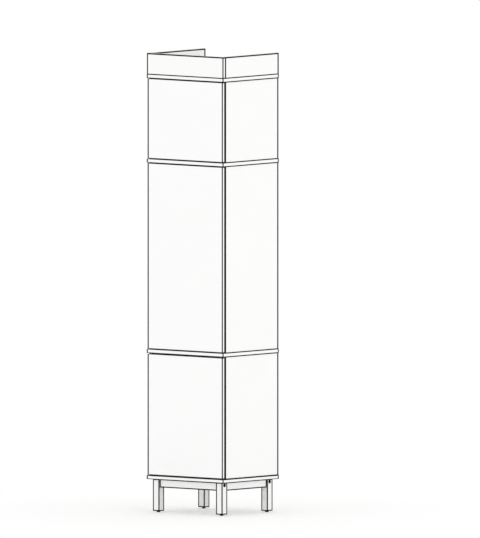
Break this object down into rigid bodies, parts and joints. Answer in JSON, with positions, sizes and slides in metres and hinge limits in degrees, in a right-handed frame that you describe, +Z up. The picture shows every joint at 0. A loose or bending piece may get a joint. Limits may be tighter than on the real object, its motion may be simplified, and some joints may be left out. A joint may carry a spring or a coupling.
{
  "type": "tall kitchen cabinet",
  "caption": "Tall narrow kitchen cabinet with stacked compartments behind plain swing doors, full boards between them, a collar on top and square legs with levelling feet.",
  "frame": {"origin": "on the floor, under the middle of the boards", "axes": "+Z up; the doors face -Y and the back plane is at +Y; +X is to the right seen from the front"},
  "size_m": [0.46, 0.4, 2.123],
  "materials": {
    "white_board": "white melamine-faced board with matching edge banding",
    "white_door": "smooth white lacquer, satin",
    "white_back": "white foil-faced fibreboard",
    "white_wood": "white painted solid wood, satin",
    "beech": "bare fluted beech",
    "zinc_steel": "bright zinc plating",
    "zinc_cast": "die-cast zinc",
    "black_steel": "black zinc plating",
    "black_plastic": "moulded black plastic",
    "grey_plastic": "moulded grey acetal",
    "white_plastic": "moulded white plastic",
    "clear_rubber": "clear soft polyurethane"
  },
  "bodies": {
    "carcass": {"board_bottom": "white_board", "board_low": "white_board", "board_high": "white_board", "board_top": "white_board", "collar_front": "white_board", "collar_left": "white_board", "collar_right": "white_board", "side_lower_left": "white_board", "side_lower_right": "white_board", "back_lower": "white_back", "side_middle_left": "white_board", "side_middle_right": "white_board", "back_middle": "white_back", "side_upper_left": "white_board", "side_upper_right": "white_board", "back_upper": "white_back", "shelf_lower_1": "white_board", "shelf_middle_1": "white_board", "shelf_middle_2": "white_board", "rail_front": "white_wood", "leg_front_left": "white_wood", "leg_front_right": "white_wood", "rail_back": "white_wood", "leg_back_left": "white_wood", "leg_back_right": "white_wood", "rail_left": "white_wood", "rail_right": "white_wood", "leg_bolts": "black_steel", "barrel_nuts": "zinc_steel", "foot_sleeves": "zinc_steel", "shelf_pins": "zinc_steel", "pivot_plates": "zinc_steel", "pivot_pins": "zinc_steel", "latch_housings": "white_plastic", "door_buffers": "clear_rubber", "dowels": "beech", "cam_bolts": "zinc_steel", "cam_locks": "zinc_cast", "wall_brackets": "zinc_steel"},
    "door_lower": {"door_lower": "white_door", "door_bushes_lower": "grey_plastic", "strike_plate_lower": "zinc_steel"},
    "plunger_lower": {"latch_plunger_lower": "grey_plastic"},
    "door_middle": {"door_middle": "white_door", "door_bushes_middle": "grey_plastic", "strike_plate_middle": "zinc_steel"},
    "plunger_middle": {"latch_plunger_middle": "grey_plastic"},
    "door_upper": {"door_upper": "white_door", "door_bushes_upper": "grey_plastic", "strike_plate_upper": "zinc_steel"},
    "plunger_upper": {"latch_plunger_upper": "grey_plastic"},
    "foot_front_left": {"foot_front_left": "black_plastic"},
    "foot_front_right": {"foot_front_right": "black_plastic"},
    "foot_back_left": {"foot_back_left": "black_plastic"},
    "foot_back_right": {"foot_back_right": "black_plastic"}
  },
  "joints": [
    {"name": "door_lower_swing", "type": "hinge", "parent": "carcass", "child": "door_lower", "pos_m": [-0.219, -0.191, 0.4525], "axis": [0, 0, -1], "range_deg": [0, 110]},
    {"name": "door_middle_swing", "type": "hinge", "parent": "carcass", "child": "door_middle", "pos_m": [-0.219, -0.191, 1.185], "axis": [0, 0, -1], "range_deg": [0, 110]},
    {"name": "door_upper_swing", "type": "hinge", "parent": "carcass", "child": "door_upper", "pos_m": [-0.219, -0.191, 1.8205], "axis": [0, 0, -1], "range_deg": [0, 110]},
    {"name": "latch_lower_push", "type": "slide", "parent": "carcass", "child": "plunger_lower", "axis": [0, 1, 0], "range_m": [0, 0.004], "stiffness_N_per_m": 250, "springref_m": -0.002},
    {"name": "latch_middle_push", "type": "slide", "parent": "carcass", "child": "plunger_middle", "axis": [0, 1, 0], "range_m": [0, 0.004], "stiffness_N_per_m": 250, "springref_m": -0.002},
    {"name": "latch_upper_push", "type": "slide", "parent": "carcass", "child": "plunger_upper", "axis": [0, 1, 0], "range_m": [0, 0.004], "stiffness_N_per_m": 250, "springref_m": -0.002},
    {"name": "foot_front_left_level", "type": "slide", "parent": "carcass", "child": "foot_front_left", "axis": [0, 0, -1], "range_m": [0, 0.012]},
    {"name": "foot_front_right_level", "type": "slide", "parent": "carcass", "child": "foot_front_right", "axis": [0, 0, -1], "range_m": [0, 0.012]},
    {"name": "foot_back_left_level", "type": "slide", "parent": "carcass", "child": "foot_back_left", "axis": [0, 0, -1], "range_m": [0, 0.012]},
    {"name": "foot_back_right_level", "type": "slide", "parent": "carcass", "child": "foot_back_right", "axis": [0, 0, -1], "range_m": [0, 0.012]}
  ]
}
